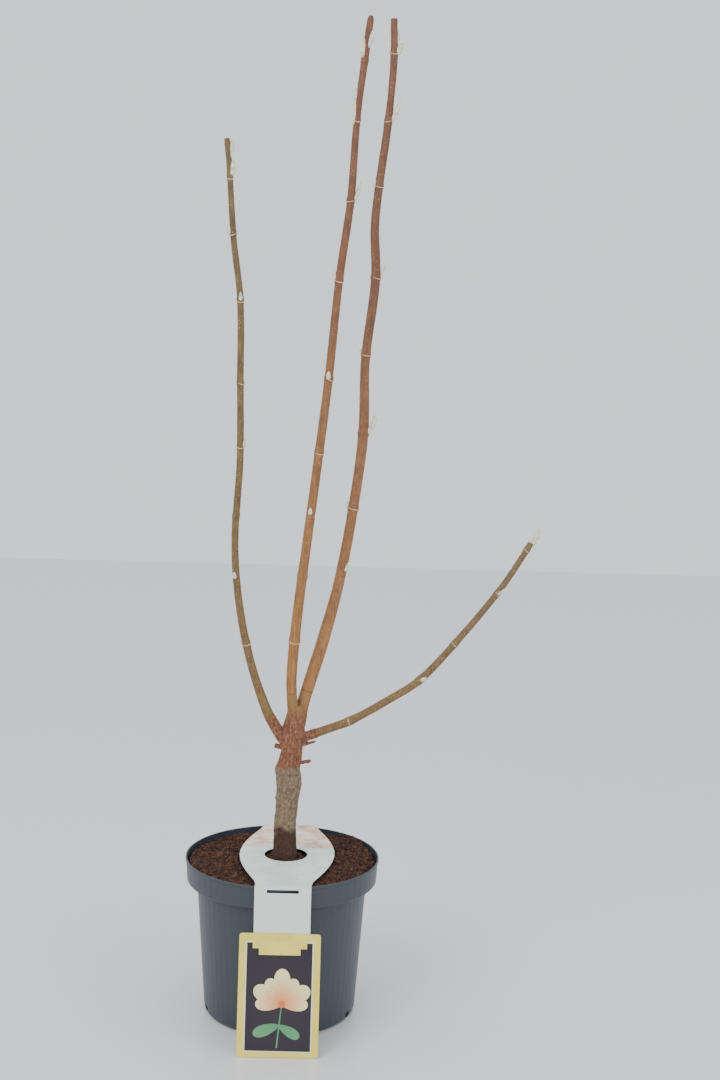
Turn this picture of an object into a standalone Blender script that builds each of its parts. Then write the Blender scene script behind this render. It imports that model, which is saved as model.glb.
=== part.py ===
"""Potted magnolia shrub, bare of leaves: trunk, boughs, budded twigs, soil, pot and two paper labels.

Metres, +Z up. The origin is the centre of the pot's flat underside, on the ground.
"""
import math

import bpy
import bmesh
from mathutils import Vector, noise

# Clearance between neighbouring solids
GAP = 0.0003

# Pot: outer radii from the lip down, and heights
POT_HEIGHT = 0.209
LIP_RADIUS = 0.128
BAND_RADIUS = 0.1255
BAND_BOTTOM = 0.178
BODY_TOP_RADIUS = 0.112
BODY_FOOT_RADIUS = 0.1003
FOOT_ROUND = 0.006
WALL = 0.002
FLOOR = 0.0025
POT_STEPS = 64
DRAIN_COUNT = 8
DRAIN_WIDTH = 0.010
DRAIN_HEIGHT = 0.012
DRAIN_FIRST_ANGLE = -25.0

# Soil: the seat under the trunk and the surface around it
SEAT_HEIGHT = 0.2030
SOIL_LEVEL = 0.2020
MOUND_HEIGHT = 0.0075
SOIL_STEPS = 48
SOIL_ROUGHNESS = 0.0012
RIM_HEAP_HEIGHT = 0.009
RIM_HEAP_PLACE = (0.085, 0.070)
RIM_HEAP_REACH = 0.030

# Trunk: centre line and radius, from the flat cut at soil level to the fork
FOOT_CENTRE = (0.003, 0.0)
FOOT_RADIUS = 0.0165
TRUNK_GUIDES = [
    (0.0030, 0.0, SEAT_HEIGHT + GAP), (0.0030, 0.0, 0.215), (0.0028, 0.0, 0.257), (0.0067, 0.0, 0.305),
    (0.0050, 0.0, 0.325), (0.0080, 0.0, 0.343), (0.0098, 0.0, 0.367), (0.0125, 0.001, 0.392), (0.0155, 0.002, 0.412),
]
TRUNK_RADII = [
    (0.2033, 0.0165), (0.222, 0.0150), (0.257, 0.0143), (0.285, 0.0145), (0.305, 0.0166), (0.325, 0.0162),
    (0.336, 0.0146), (0.352, 0.0140), (0.372, 0.0158), (0.388, 0.0138), (0.412, 0.0098),
]
TRUNK_STEP = 0.005
BARK_RELIEF = 0.0007
BARK_SCALE = 140.0

# Short stubs, spurs and knots on the trunk: height, angle round it, length, radius at foot and at end
TRUNK_SPURS = [
    (0.3525, 180.0, 0.0085, 0.0034, 0.0032),
    (0.3560, 5.0, 0.0190, 0.0026, 0.0014),
    (0.3320, -8.0, 0.0150, 0.0024, 0.0022),
    (0.2850, 200.0, 0.0030, 0.0045, 0.0020),
    (0.3050, -75.0, 0.0025, 0.0060, 0.0045),
]

# Stems: guide points from inside the trunk to the tip, radius by height, heights of the two cuts
# (trunk collar to bough, bough to twig), and buds as height, angle round the stem, length, radius, lean
STEMS = {
    "left": {
        "guides": [
            (0.006, 0.000, 0.358), (-0.0078, -0.003, 0.3759), (-0.0247, -0.010, 0.4085), (-0.0468, -0.022, 0.4776),
            (-0.0616, -0.037, 0.5575), (-0.0667, -0.050, 0.636), (-0.0612, -0.063, 0.7383),
            (-0.0620, -0.0712, 0.8378), (-0.0632, -0.0791, 0.9351), (-0.0719, -0.0850, 1.0066),
            (-0.0787, -0.0926, 1.1003), (-0.0815, -0.0947, 1.1257),
        ],
        "radii": [(0.358, 0.0080), (0.395, 0.0070), (0.45, 0.0055), (0.60, 0.0046), (0.94, 0.0041), (1.07, 0.0036),
                  (1.12, 0.0036), (1.1257, 0.0030)],
        "cuts": (0.400, 0.580),
        "nodes": [0.500, 0.667, 0.756, 0.835, 0.935, 1.015, 1.0805],
        "buds": [(0.588, -110.0, 0.008, 0.0018, 0.10), (0.756, -20.0, 0.009, 0.0018, 0.12),
                 (0.936, -80.0, 0.009, 0.0018, 0.12), (1.015, 190.0, 0.012, 0.0020, 0.08),
                 (1.084, -25.0, 0.017, 0.0024, 0.10), (1.104, 0.0, 0.024, 0.0022, 0.12)],
    },
    "inner_left": {
        "guides": [
            (0.0120, -0.001, 0.380), (0.0099, -0.0040, 0.4073), (0.0070, -0.0060, 0.4476), (0.0123, -0.0083, 0.5277),
            (0.0236, -0.0113, 0.6331), (0.0351, -0.0143, 0.7369), (0.0459, -0.0173, 0.8389),
            (0.0563, -0.0209, 0.9642), (0.0682, -0.0237, 1.0627), (0.0733, -0.0265, 1.1596),
            (0.0810, -0.0286, 1.2313), (0.0872, -0.0300, 1.2840),
        ],
        "radii": [(0.380, 0.0075), (0.43, 0.0068), (0.50, 0.0069), (0.61, 0.0062), (0.76, 0.0058), (0.89, 0.0053),
                  (1.04, 0.0050), (1.18, 0.0043), (1.225, 0.0045), (1.25, 0.0045), (1.279, 0.0043), (1.284, 0.0026)],
        "cuts": (0.430, 0.660),
        "nodes": [0.500, 0.586, 0.747, 0.841, 0.964, 1.0627, 1.1596, 1.231],
        "buds": [(0.668, -100.0, 0.008, 0.0020, 0.10), (0.8414, -95.0, 0.009, 0.0022, 0.10),
                 (0.9642, 185.0, 0.012, 0.0020, 0.12), (1.0627, 0.0, 0.025, 0.0024, 0.22),
                 (1.1560, 185.0, 0.030, 0.0034, 0.02), (1.1800, 180.0, 0.024, 0.0020, 0.02),
                 (1.2350, 210.0, 0.024, 0.0026, 0.04), (1.2480, -30.0, 0.020, 0.0024, 0.05)],
    },
    "inner_right": {
        "guides": [
            (0.0150, 0.002, 0.372), (0.0220, 0.0055, 0.4100), (0.0311, 0.0110, 0.4436), (0.0467, 0.0200, 0.4962),
            (0.0662, 0.0340, 0.5749), (0.0833, 0.0535, 0.6795), (0.0926, 0.0679, 0.7674),
            (0.0929, 0.0788, 0.8635), (0.1034, 0.0866, 0.9686), (0.1009, 0.0897, 1.0466),
            (0.1146, 0.0950, 1.1760), (0.1196, 0.0981, 1.2528), (0.1184, 0.1000, 1.3050),
        ],
        "radii": [(0.372, 0.0085), (0.43, 0.0083), (0.50, 0.0083), (0.56, 0.0071), (0.70, 0.0067), (0.77, 0.0070),
                  (0.84, 0.0061), (0.97, 0.0063), (1.05, 0.0057), (1.17, 0.0053), (1.20, 0.0046), (1.26, 0.0050),
                  (1.275, 0.0047), (1.305, 0.0045)],
        "cuts": (0.430, 0.580),
        "nodes": [0.669, 0.767, 0.871, 0.972, 1.091, 1.175, 1.262],
        "buds": [(0.588, -35.0, 0.012, 0.0022, 0.12), (0.669, 180.0, 0.008, 0.0022, 0.10),
                 (0.7674, -10.0, 0.030, 0.0030, 0.32), (0.8714, 180.0, 0.006, 0.0018, 0.10),
                 (0.9725, -5.0, 0.017, 0.0016, 0.30), (1.0880, 185.0, 0.014, 0.0024, 0.05),
                 (1.1747, -10.0, 0.032, 0.0026, 0.26), (1.2620, -5.0, 0.013, 0.0034, 0.35),
                 (1.2760, 0.0, 0.016, 0.0016, 0.10)],
    },
    "low_right": {
        "guides": [
            (0.0090, 0.000, 0.366), (0.0250, 0.0019, 0.3697), (0.0520, 0.0119, 0.3773), (0.0873, 0.0251, 0.3884),
            (0.1357, 0.0432, 0.4126), (0.1778, 0.0589, 0.4376), (0.2287, 0.0779, 0.4900),
            (0.2848, 0.0989, 0.5566), (0.3209, 0.1110, 0.6108), (0.3262, 0.1120, 0.6206),
        ],
        "radii": [(0.366, 0.0062), (0.372, 0.0059), (0.39, 0.0053), (0.44, 0.0051), (0.55, 0.0044), (0.6206, 0.0041)],
        "cuts": (0.3745, 0.4340),
        "nodes": [0.387, 0.437, 0.4847, 0.552, 0.611],
        "buds": [(0.4380, -70.0, 0.007, 0.0020, 0.20), (0.5520, -60.0, 0.012, 0.0018, 0.55),
                 (0.6060, 150.0, 0.011, 0.0020, 0.10), (0.6190, 20.0, 0.026, 0.0032, -0.10)],
    },
}
STEM_STEP = 0.010
NODE_SWELL = 0.14
NODE_REACH = 0.0035
CAP_RUN = 0.0005

# Collar label: a paper strip round the trunk, folded down over the front and the back of the rim
LABEL_THICK = 0.0005
LABEL_LEVEL = 0.2085
LABEL_CENTRE_X = 0.006
LABEL_STRAP_HALF = 0.0355
LABEL_WAIST_HALF = 0.063
LABEL_WAIST_REACH = 0.115
LABEL_TAIL_BOTTOM = 0.122
LABEL_FOLD_Y = 0.1288
LABEL_OVER_LIP = POT_HEIGHT + GAP + LABEL_THICK
LABEL_HOLE_RADIUS = 0.0285
LABEL_HOLE_CENTRE = (0.0045, 0.004)
LABEL_SLOT = (0.040, 0.0045)
LABEL_SLOT_DEPTH = 0.003

# Picture card: stands on the ground in front and leans back on the label's tail
CARD_WIDTH = 0.102
CARD_HEIGHT = 0.153
CARD_THICK = 0.0010
CARD_CORNER = 0.0035
CARD_CENTRE_X = 0.004
CARD_FOOT_Y = -0.1580

MODEL = bpy.data.collections.new("potted_magnolia_shrub")
CUTTERS = bpy.data.collections.new("cutters")


def material(name, color, roughness, metallic=0.0):
    mat = bpy.data.materials.new(name)
    mat.use_nodes = True
    shader = mat.node_tree.nodes["Principled BSDF"]
    shader.inputs["Base Color"].default_value = (*color, 1.0)
    shader.inputs["Roughness"].default_value = roughness
    shader.inputs["Metallic"].default_value = metallic
    return mat


def add_object(name, mesh, collection=MODEL):
    obj = bpy.data.objects.new(name, mesh)
    collection.objects.link(obj)
    return obj


def mesh_from(name, bm):
    mesh = bpy.data.meshes.new(name)
    bm.to_mesh(mesh)
    bm.free()
    return mesh


def baked(obj):
    """The object's mesh with its modifiers applied."""
    bpy.context.view_layer.update()
    depsgraph = bpy.context.evaluated_depsgraph_get()
    return bpy.data.meshes.new_from_object(obj.evaluated_get(depsgraph))


def between(table, value):
    """Value read off a table of (position, size) pairs by straight lines."""
    for (low, a), (high, b) in zip(table, table[1:]):
        if value <= high:
            share = max(0.0, (value - low) / (high - low))
            return a + (b - a) * share
    return table[-1][1]


def smooth_path(guides, per_span=40):
    """Closely spaced points on a smooth curve through the guide points."""
    points = [Vector(g) for g in guides]
    ends = [points[0] * 2 - points[1]] + points + [points[-1] * 2 - points[-2]]
    path = []
    for i in range(1, len(ends) - 2):
        before, start, stop, after = ends[i - 1:i + 3]
        length = (stop - start).length
        leave = (stop - before) * (length / ((stop - start).length + (start - before).length))
        arrive = (after - start) * (length / ((after - stop).length + (stop - start).length))
        for k in range(per_span):
            t = k / per_span
            path.append(start * (2 * t ** 3 - 3 * t ** 2 + 1) + leave * (t ** 3 - 2 * t ** 2 + t)
                        + stop * (3 * t ** 2 - 2 * t ** 3) + arrive * (t ** 3 - t ** 2))
    path.append(points[-1])
    return path


class Line:
    """A centre line that can be read by distance from its start, or by height."""

    def __init__(self, guides):
        self.points = smooth_path(guides)
        self.reach = [0.0]
        for a, b in zip(self.points, self.points[1:]):
            self.reach.append(self.reach[-1] + (b - a).length)

    def length(self):
        return self.reach[-1]

    def at(self, distance):
        for i in range(1, len(self.reach)):
            if distance <= self.reach[i]:
                share = (distance - self.reach[i - 1]) / (self.reach[i] - self.reach[i - 1])
                return self.points[i - 1].lerp(self.points[i], share)
        return self.points[-1]

    def direction(self, distance):
        return (self.at(distance + 0.002) - self.at(distance - 0.002)).normalized()

    def distance_at_height(self, height):
        for i in range(1, len(self.points)):
            if self.points[i].z >= height:
                low, high = self.points[i - 1].z, self.points[i].z
                return self.reach[i - 1] + (self.reach[i] - self.reach[i - 1]) * (height - low) / (high - low)
        return self.length()


def tube(name, points, radii, sides, collection):
    """A closed round limb along the points, with its own radius at each."""
    curve = bpy.data.curves.new(name, "CURVE")
    curve.dimensions = "3D"
    curve.bevel_depth = 1.0
    curve.bevel_resolution = sides // 2 - 2
    curve.use_fill_caps = True
    spline = curve.splines.new("POLY")
    spline.points.add(len(points) - 1)
    for knot, point, radius in zip(spline.points, points, radii):
        knot.co = (*point, 1.0)
        knot.radius = radius
    limb = bpy.data.objects.new(name, curve)
    collection.objects.link(limb)
    mesh = baked(limb)
    bpy.data.objects.remove(limb)
    bm = bmesh.new()
    bm.from_mesh(mesh)
    bmesh.ops.remove_doubles(bm, verts=bm.verts, dist=0.000002)
    bmesh.ops.recalc_face_normals(bm, faces=bm.faces)
    bm.to_mesh(mesh)
    bm.free()
    return add_object(name, mesh, collection)


def joined(name, base, extras):
    """One closed body from the base and the pieces grown on it."""
    if extras:
        pieces = bpy.data.collections.new(name + "_pieces")
        bpy.context.scene.collection.children.link(pieces)
        for piece in extras:
            for holder in list(piece.users_collection):
                holder.objects.unlink(piece)
            pieces.objects.link(piece)
        union = base.modifiers.new("grown_on", "BOOLEAN")
        union.operation = "UNION"
        union.operand_type = "COLLECTION"
        union.collection = pieces
        union.solver = "EXACT"
        mesh = baked(base)
        base.modifiers.clear()
        base.data = mesh
        for piece in extras:
            bpy.data.objects.remove(piece)
        bpy.data.collections.remove(pieces)
    base.name = name
    base.data.name = name
    return base


def finish(obj, mat, sharp_degrees=40.0):
    obj.data.materials.clear()
    obj.data.materials.append(mat)
    obj.data.shade_smooth()
    obj.data.set_sharp_from_angle(angle=math.radians(sharp_degrees))
    return obj


def stem_radius(stem, height):
    radius = between(stem["radii"], height)
    for node in stem["nodes"]:
        radius *= 1.0 + NODE_SWELL * math.exp(-((height - node) / NODE_REACH) ** 2)
    return radius


def stem_stations(line, start, stop):
    """Distances along a limb, with a short run at each end so that its caps lie square to it."""
    count = max(2, round((stop - start) / STEM_STEP))
    middle = [start + (stop - start) * i / count for i in range(1, count)]
    return [start, start + CAP_RUN] + middle + [stop - CAP_RUN, stop]


def limb(name, stem, line, start, stop, sides=10):
    stations = stem_stations(line, start, stop)
    points = [line.at(s) for s in stations]
    radii = [stem_radius(stem, p.z) for p in points]
    return tube(name, points, radii, sides, MODEL)


def bud(name, stem, line, height, angle, length, radius, lean):
    """A pointed bud that starts inside the stem and follows it upward."""
    along = line.distance_at_height(height)
    centre = line.at(along)
    tangent = line.direction(along)
    side = Vector((math.cos(math.radians(angle)), math.sin(math.radians(angle)), 0.0))
    side = (side - tangent * side.dot(tangent)).normalized()
    stem_r = stem_radius(stem, centre.z)
    shape = [(-0.10, 0.30, 0.60), (0.08, 0.85, 0.95), (0.35, 1.0, 1.0), (0.65, 1.0, 0.80), (0.88, 1.0, 0.42),
             (1.0, 1.0, 0.12)]
    points = []
    radii = []
    for forward, outward, width in shape:
        out = stem_r * outward + lean * length * max(0.0, forward)
        points.append(centre + tangent * (length * forward) + side * out)
        radii.append(radius * width)
    return tube(name, points, radii, 8, MODEL)


def build_pot():
    bm = bmesh.new()
    inner_foot = BODY_FOOT_RADIUS - WALL
    inner_body = BODY_TOP_RADIUS - WALL
    shoulder = BAND_BOTTOM - 0.004
    outer = [
        (LIP_RADIUS, POT_HEIGHT - 0.0006), (LIP_RADIUS, POT_HEIGHT - 0.003), (LIP_RADIUS - 0.0008, POT_HEIGHT - 0.0036),
        (BAND_RADIUS, BAND_BOTTOM + 0.0015), (BAND_RADIUS - 0.0015, BAND_BOTTOM), (BODY_TOP_RADIUS + 0.003, shoulder + 0.0015),
        (BODY_TOP_RADIUS, shoulder - 0.0015), (BODY_FOOT_RADIUS + 0.0004, FOOT_ROUND * 1.2),
    ]
    corner = [(BODY_FOOT_RADIUS - FOOT_ROUND * (1 - math.cos(a)), FOOT_ROUND * (1 - math.sin(a)))
              for a in (math.radians(20 + 70 * i / 3) for i in range(4))]
    inner = [
        (0.0, FLOOR), (inner_foot - FOOT_ROUND * 0.7, FLOOR), (inner_foot, FLOOR + FOOT_ROUND * 0.7),
        (inner_body, shoulder - 0.001), (inner_body + 0.003, shoulder + 0.003), (BAND_RADIUS - WALL, BAND_BOTTOM + 0.004),
        (LIP_RADIUS - WALL, POT_HEIGHT - 0.004), (LIP_RADIUS - WALL, POT_HEIGHT - 0.0006),
        (LIP_RADIUS - WALL + 0.0006, POT_HEIGHT), (LIP_RADIUS - 0.0006, POT_HEIGHT),
    ]
    profile = inner + outer + corner + [(0.0, 0.0)]
    verts = [bm.verts.new((r, 0.0, z)) for r, z in profile]
    for a, b in zip(verts, verts[1:]):
        bm.edges.new((a, b))
    pot = add_object("pot", mesh_from("pot", bm))
    screw = pot.modifiers.new("turned", "SCREW")
    screw.steps = POT_STEPS
    screw.render_steps = POT_STEPS
    screw.use_merge_vertices = True
    screw.merge_threshold = 0.00001
    for i in range(DRAIN_COUNT):
        angle = math.radians(DRAIN_FIRST_ANGLE + 360.0 * i / DRAIN_COUNT)
        cutter_bm = bmesh.new()
        bmesh.ops.create_cube(cutter_bm, size=1.0)
        for v in cutter_bm.verts:
            v.co = (v.co.x * 0.020, v.co.y * DRAIN_WIDTH, v.co.z * DRAIN_HEIGHT)
        cutter = add_object(f"drain_cutter_{i}", mesh_from("drain_cutter", cutter_bm), CUTTERS)
        cutter.location = (BODY_FOOT_RADIUS * math.cos(angle), BODY_FOOT_RADIUS * math.sin(angle), DRAIN_HEIGHT / 2 - 0.001)
        cutter.rotation_euler = (0.0, 0.0, angle)
        cutter.hide_render = True
        cutter.display_type = "WIRE"
    cut = pot.modifiers.new("drains", "BOOLEAN")
    cut.operation = "DIFFERENCE"
    cut.operand_type = "COLLECTION"
    cut.collection = CUTTERS
    cut.solver = "EXACT"
    return finish(pot, material("pot_plastic", (0.035, 0.045, 0.058), 0.45))


def label_half_width(y):
    bulge = max(0.0, 1.0 - abs(y - 0.01) / LABEL_WAIST_REACH)
    return LABEL_STRAP_HALF + (LABEL_WAIST_HALF - LABEL_STRAP_HALF) * math.sin(bulge * math.pi / 2)


def soil_height(x, y):
    """Height of the loose surface: rough, heaped at the foot of the trunk and at the back right rim."""
    away = math.hypot(x - FOOT_CENTRE[0], y - FOOT_CENTRE[1])
    heap = MOUND_HEIGHT * max(0.0, 1.0 - (away - FOOT_RADIUS) / 0.012) ** 1.3 if away < FOOT_RADIUS + 0.012 else 0.0
    rim = math.hypot(x - RIM_HEAP_PLACE[0], y - RIM_HEAP_PLACE[1]) / RIM_HEAP_REACH
    rim_heap = RIM_HEAP_HEIGHT * math.exp(-rim * rim)
    rough = SOIL_ROUGHNESS * noise.noise(Vector((x * 90.0, y * 90.0, 0.3)))
    beside_label = abs(x - LABEL_CENTRE_X) - label_half_width(y)
    share = min(1.0, max(0.0, (beside_label - 0.011) / 0.010))
    under_label = SEAT_HEIGHT + 0.0025
    height = SOIL_LEVEL + rough + rim_heap * share + heap
    if away > LABEL_HOLE_RADIUS - 0.011 and heap == 0.0 and share < 1.0:
        height = min(height, under_label)
    return height


def build_soil():
    inner_foot = BODY_FOOT_RADIUS - WALL - GAP
    inner_body = BODY_TOP_RADIUS - WALL - GAP
    shoulder = BAND_BOTTOM - 0.004
    top_radius = BAND_RADIUS - WALL - GAP + 0.0015
    seat = FOOT_RADIUS + 0.0012
    sides = [
        (0.0, FLOOR + GAP), (inner_foot - FOOT_ROUND * 0.75, FLOOR + GAP), (inner_foot, FLOOR + FOOT_ROUND * 0.75),
        (inner_body - 0.0003, shoulder - 0.001), (inner_body + 0.0024, shoulder + 0.0034),
        (BAND_RADIUS - WALL - GAP - 0.0002, BAND_BOTTOM + 0.0045), (top_radius, SOIL_LEVEL - 0.003),
    ]
    rings = [0.122, 0.113, 0.103, 0.092, 0.080, 0.068, 0.056, 0.045, 0.036, 0.0285, 0.0235, seat + 0.0006]
    top = [(r, SOIL_LEVEL) for r in rings] + [(seat, SEAT_HEIGHT), (0.0, SEAT_HEIGHT)]
    bm = bmesh.new()
    verts = [bm.verts.new((r, 0.0, z)) for r, z in sides + top]
    edges = [bm.edges.new((a, b)) for a, b in zip(verts, verts[1:])]
    bmesh.ops.spin(bm, geom=verts + edges, axis=(0, 0, 1), cent=(0, 0, 0), steps=SOIL_STEPS,
                   angle=2 * math.pi, use_merge=True)
    bmesh.ops.remove_doubles(bm, verts=bm.verts, dist=0.00001)
    for v in bm.verts:
        radius = math.hypot(v.co.x, v.co.y)
        if v.co.z < SOIL_LEVEL - 0.0015:
            continue
        drift = max(0.0, 1.0 - radius / 0.09)
        v.co.x += FOOT_CENTRE[0] * min(1.0, drift * 1.6)
        if radius > seat + 0.0001:
            v.co.z = soil_height(v.co.x, v.co.y)
    bmesh.ops.recalc_face_normals(bm, faces=bm.faces)
    return finish(add_object("soil", mesh_from("soil", bm)), material("peat", (0.045, 0.016, 0.009), 0.95))


def build_trunk(stems):
    line = Line(TRUNK_GUIDES)
    count = round(line.length() / TRUNK_STEP)
    stations = [0.0, CAP_RUN] + [line.length() * i / count for i in range(1, count + 1)]
    points = [line.at(s) for s in stations]
    points[1] = points[0] + Vector((0.0, 0.0, CAP_RUN))
    radii = [between(TRUNK_RADII, p.z) for p in points]
    trunk = tube("trunk", points, radii, 16, MODEL)
    for v in trunk.data.vertices:
        push = BARK_RELIEF * noise.noise(v.co * BARK_SCALE)
        height = v.co.z
        centre = line.at(line.distance_at_height(height))
        out = Vector((v.co.x - centre.x, v.co.y - centre.y, 0.0))
        if out.length > 0.001 and height < TRUNK_GUIDES[-1][2] - 0.004:
            flare = max(0.0, 1.0 - (height - SEAT_HEIGHT) / 0.02) * 0.0007
            lobes = flare * math.cos(5.0 * math.atan2(out.y, out.x))
            v.co += out.normalized() * (push + lobes)
    extras = []
    for name, (stem, stem_line) in stems.items():
        cut = stem_line.distance_at_height(stem["cuts"][0])
        extras.append(limb("collar_" + name, stem, stem_line, 0.0, cut, 12))
    for i, (height, angle, length, foot, end) in enumerate(TRUNK_SPURS):
        centre = line.at(line.distance_at_height(height))
        side = Vector((math.cos(math.radians(angle)), math.sin(math.radians(angle)), 0.25)).normalized()
        surface = between(TRUNK_RADII, height)
        spur = [centre + side * (surface * 0.5), centre + side * (surface + length * 0.5), centre + side * (surface + length)]
        extras.append(tube(f"spur_{i}", spur, [foot, (foot + end) / 2, end], 8, MODEL))
    return finish(joined("trunk", trunk, extras), material("trunk_bark", (0.28, 0.13, 0.06), 0.85))


def build_stems(stems):
    bark = material("bough_bark", (0.30, 0.17, 0.06), 0.7)
    shoot_bark = material("twig_bark", (0.24, 0.13, 0.06), 0.6)
    for name, (stem, line) in stems.items():
        collar = line.distance_at_height(stem["cuts"][0])
        middle = line.distance_at_height(stem["cuts"][1])
        bough = limb("bough_" + name, stem, line, collar + GAP, middle)
        finish(joined("bough_" + name, bough, []), bark)
        twig = limb("twig_" + name, stem, line, middle + GAP, line.length())
        buds = [bud(f"bud_{name}_{i}", stem, line, *sizes) for i, sizes in enumerate(stem["buds"])]
        finish(joined("twig_" + name, twig, buds), shoot_bark)


def label_path():
    """The strip's run seen from the side, from the front tail over the soil to the back tail."""
    inside = LIP_RADIUS - 0.016
    half = [(-LABEL_FOLD_Y, LABEL_TAIL_BOTTOM), (-LABEL_FOLD_Y, POT_HEIGHT - 0.030), (-LABEL_FOLD_Y, POT_HEIGHT - 0.001),
            (-LABEL_FOLD_Y + 0.0006, LABEL_OVER_LIP - 0.0002), (-LABEL_FOLD_Y + 0.0016, LABEL_OVER_LIP),
            (-LIP_RADIUS + 0.0100, LABEL_OVER_LIP), (-inside, LABEL_LEVEL), (-0.100, LABEL_LEVEL), (-0.080, LABEL_LEVEL),
            (-0.060, LABEL_LEVEL), (-0.040, LABEL_LEVEL), (-0.020, LABEL_LEVEL)]
    return half + [(0.0, LABEL_LEVEL)] + [(-y, z) for y, z in reversed(half)]


def build_label():
    path = label_path()
    columns = 4
    bm = bmesh.new()
    bmesh.ops.create_grid(bm, x_segments=columns, y_segments=len(path) - 1, size=1.0)
    for v in bm.verts:
        y, z = path[round((v.co.y + 1.0) / 2.0 * (len(path) - 1))]
        half = label_half_width(y) if abs(y) < LIP_RADIUS - 0.008 else LABEL_STRAP_HALF
        v.co = (LABEL_CENTRE_X + v.co.x * half, y, z)
    bmesh.ops.solidify(bm, geom=bm.faces[:], thickness=LABEL_THICK)
    bmesh.ops.recalc_face_normals(bm, faces=bm.faces)
    label = add_object("collar_label", mesh_from("collar_label", bm))
    openings = bpy.data.collections.new("label_cutters")
    bpy.context.scene.collection.children.link(openings)
    hole_bm = bmesh.new()
    bmesh.ops.create_cone(hole_bm, cap_ends=True, segments=32, radius1=LABEL_HOLE_RADIUS, radius2=LABEL_HOLE_RADIUS,
                          depth=0.02)
    bmesh.ops.translate(hole_bm, verts=hole_bm.verts, vec=(*LABEL_HOLE_CENTRE, LABEL_LEVEL))
    add_object("hole_cutter", mesh_from("hole_cutter", hole_bm), openings)
    boxes = {
        "slit_cutter": ((LABEL_HOLE_CENTRE[0] + 0.045, LABEL_HOLE_CENTRE[1] + 0.006, LABEL_LEVEL), (0.09, 0.0016, 0.02)),
        "slot_cutter": ((LABEL_CENTRE_X, -LABEL_FOLD_Y, POT_HEIGHT - LABEL_SLOT_DEPTH), (LABEL_SLOT[0], 0.008, LABEL_SLOT[1])),
    }
    for name, (centre, size) in boxes.items():
        box_bm = bmesh.new()
        bmesh.ops.create_cube(box_bm, size=1.0)
        for v in box_bm.verts:
            v.co = Vector(centre) + Vector((v.co.x * size[0], v.co.y * size[1], v.co.z * size[2]))
        add_object(name, mesh_from(name, box_bm), openings)
    for cutter in openings.objects:
        cutter.hide_render = True
        cutter.display_type = "WIRE"
    cut = label.modifiers.new("hole_slit_slot", "BOOLEAN")
    cut.operation = "DIFFERENCE"
    cut.operand_type = "COLLECTION"
    cut.collection = openings
    cut.solver = "EXACT"
    return finish(label, material("label_paper", (0.72, 0.84, 0.78), 0.55))


def build_card():
    outline = bpy.data.curves.new("picture_card", "CURVE")
    outline.dimensions = "2D"
    outline.fill_mode = "BOTH"
    outline.extrude = CARD_THICK / 2
    spline = outline.splines.new("POLY")
    corners = []
    centres = [(1, 1, 0), (-1, 1, 90), (-1, -1, 180), (1, -1, 270)]
    for sx, sy, first in centres:
        cx = sx * (CARD_WIDTH / 2 - CARD_CORNER)
        cy = sy * (CARD_HEIGHT / 2 - CARD_CORNER)
        for step in range(4):
            a = math.radians(first + 30 * step)
            corners.append((cx + CARD_CORNER * math.cos(a), cy + CARD_CORNER * math.sin(a)))
    spline.points.add(len(corners) - 1)
    for point, (x, y) in zip(spline.points, corners):
        point.co = (x, y, 0.0, 1.0)
    spline.use_cyclic_u = True
    card = bpy.data.objects.new("picture_card", outline)
    MODEL.objects.link(card)
    lean_run = (-LABEL_FOLD_Y - LABEL_THICK - GAP) - (CARD_FOOT_Y + CARD_THICK / 2)
    slope = math.acos(lean_run / CARD_HEIGHT)
    card.rotation_euler = (slope, 0.0, 0.0)
    rise = CARD_HEIGHT / 2 * math.sin(slope) + CARD_THICK / 2 * math.cos(slope) + GAP
    card.location = (CARD_CENTRE_X, CARD_FOOT_Y + CARD_HEIGHT / 2 * math.cos(slope), rise)
    bpy.context.view_layer.update()
    mesh = baked(card)
    place = card.matrix_world.copy()
    bpy.data.objects.remove(card)
    bm = bmesh.new()
    bm.from_mesh(mesh)
    bmesh.ops.remove_doubles(bm, verts=bm.verts, dist=0.00001)
    bmesh.ops.recalc_face_normals(bm, faces=bm.faces)
    bm.to_mesh(mesh)
    bm.free()
    flat = add_object("picture_card", mesh)
    flat.matrix_world = place
    return finish(flat, material("card_paper", (0.85, 0.70, 0.12), 0.5))


def main():
    for obj in list(bpy.data.objects):
        bpy.data.objects.remove(obj)
    for collection in (MODEL, CUTTERS):
        bpy.context.scene.collection.children.link(collection)
    stems = {name: (stem, Line(stem["guides"])) for name, stem in STEMS.items()}
    build_pot()
    build_soil()
    build_trunk(stems)
    build_stems(stems)
    build_label()
    build_card()


main()
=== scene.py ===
"""Looks of the potted magnolia shrub: bark with relief, buds, leaf scars, peat crumbs, pot and labels."""
import math

import bpy
import bmesh
import numpy as np
from mathutils import Matrix, Vector, noise


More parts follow.
